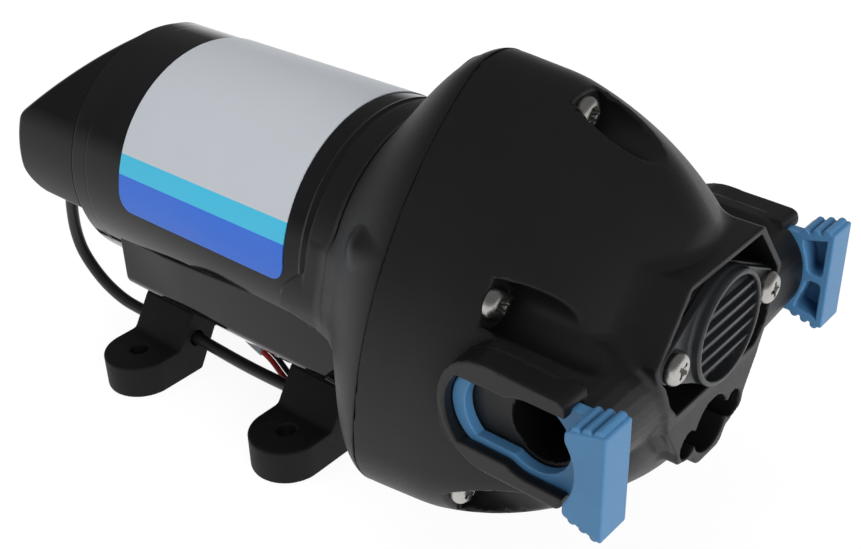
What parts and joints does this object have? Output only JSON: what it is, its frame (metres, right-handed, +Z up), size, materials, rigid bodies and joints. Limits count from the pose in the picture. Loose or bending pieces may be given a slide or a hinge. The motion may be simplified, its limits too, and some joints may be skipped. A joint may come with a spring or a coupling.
{
  "type": "diaphragm water pump",
  "caption": "Caravan water pump: black electric motor on rubber feet, driving a domed wobble-plate diaphragm head with side ports, blue slide clips and a pressure switch.",
  "frame": {"origin": "centre of the foot hole pattern, on the mounting plane under the feet", "axes": "+X along the motor axis from the motor's rear cover to the pump head's front, +Y towards the far port, +Z up from the mounting plane"},
  "size_m": [0.1947, 0.096, 0.104],
  "materials": {
    "can_paint": "gloss black paint",
    "label_film": "printed film, satin",
    "black_gloss": "gloss black moulding",
    "black_plastic": "finely textured black moulding",
    "cap_plastic": "satin black moulding",
    "blue_plastic": "satin blue moulding",
    "pale_plastic": "natural moulding",
    "holder_board": "laminate board",
    "switch_plastic": "dark blue moulding",
    "foot_rubber": "matte black rubber",
    "seal_rubber": "moulded rubber",
    "valve_rubber": "red-brown rubber",
    "cable_sheath": "black sheath",
    "red_sheath": "red sheath",
    "sleeve": "grey sleeve",
    "screw_steel": "bright stainless steel",
    "shaft_steel": "ground steel",
    "bell_metal": "plain cast metal",
    "core_steel": "laminated steel",
    "magnet": "ferrite",
    "copper": "enamelled copper",
    "bronze": "sintered bronze",
    "carbon": "carbon"
  },
  "bodies": {
    "pump_body": {"motor_can": "can_paint", "motor_label": "label_film", "rear_end_bell": "bell_metal", "rear_bush": "bronze", "rear_cover": "black_gloss", "front_end_plate": "bell_metal", "front_bearing": "shaft_steel", "field_magnets": "magnet", "brush_holder": "holder_board", "brushes": "carbon", "brush_springs": "shaft_steel", "motor_base": "black_gloss", "foot_rear_near": "foot_rubber", "foot_rear_far": "foot_rubber", "foot_front_near": "foot_rubber", "foot_front_far": "foot_rubber", "motor_cable": "cable_sheath", "red_lead": "red_sheath", "black_lead": "cable_sheath", "lead_sleeve": "sleeve", "lower_housing": "black_plastic", "diaphragm": "seal_rubber", "valve_plate": "pale_plastic", "inlet_valves": "valve_rubber", "outlet_valve": "valve_rubber", "valve_seal": "seal_rubber", "upper_housing": "black_plastic", "housing_screws": "screw_steel", "switch_cap": "cap_plastic", "cap_screws": "screw_steel", "micro_switch": "switch_plastic", "switch_diaphragm": "seal_rubber"},
    "rotor": {"motor_shaft": "shaft_steel", "armature_core": "core_steel", "armature_windings": "copper", "commutator": "copper", "drive_cam": "shaft_steel"},
    "wobble": {"cam_bearing": "shaft_steel", "wobble_plate": "pale_plastic", "piston_discs": "pale_plastic", "piston_screws": "screw_steel"},
    "near_clip_body": {"near_clip": "blue_plastic"},
    "far_clip_body": {"far_clip": "blue_plastic"},
    "plunger": {"switch_plunger": "pale_plastic", "switch_spring": "shaft_steel"}
  },
  "joints": [
    {"name": "motor_spin", "type": "hinge", "parent": "pump_body", "child": "rotor", "pos_m": [0, 0, 0.0525], "axis": [1, 0, 0], "continuous": true},
    {"name": "wobble_roll", "type": "hinge", "parent": "rotor", "child": "wobble", "pos_m": [0.0545, 0, 0.0525], "axis": [0.9981, 0, -0.061], "continuous": true},
    {"name": "near_clip_slide", "type": "slide", "parent": "pump_body", "child": "near_clip_body", "axis": [1, 0, 0], "range_m": [0, 0.012]},
    {"name": "far_clip_slide", "type": "slide", "parent": "pump_body", "child": "far_clip_body", "axis": [1, 0, 0], "range_m": [0, 0.012]},
    {"name": "plunger_slide", "type": "slide", "parent": "pump_body", "child": "plunger", "axis": [1, 0, 0], "range_m": [0, 0.0012], "stiffness_N_per_m": 800, "springref_m": -0.0005}
  ],
  "couplings": [
    {"joint": "wobble_roll", "follows": "motor_spin", "ratio": -1}
  ]
}
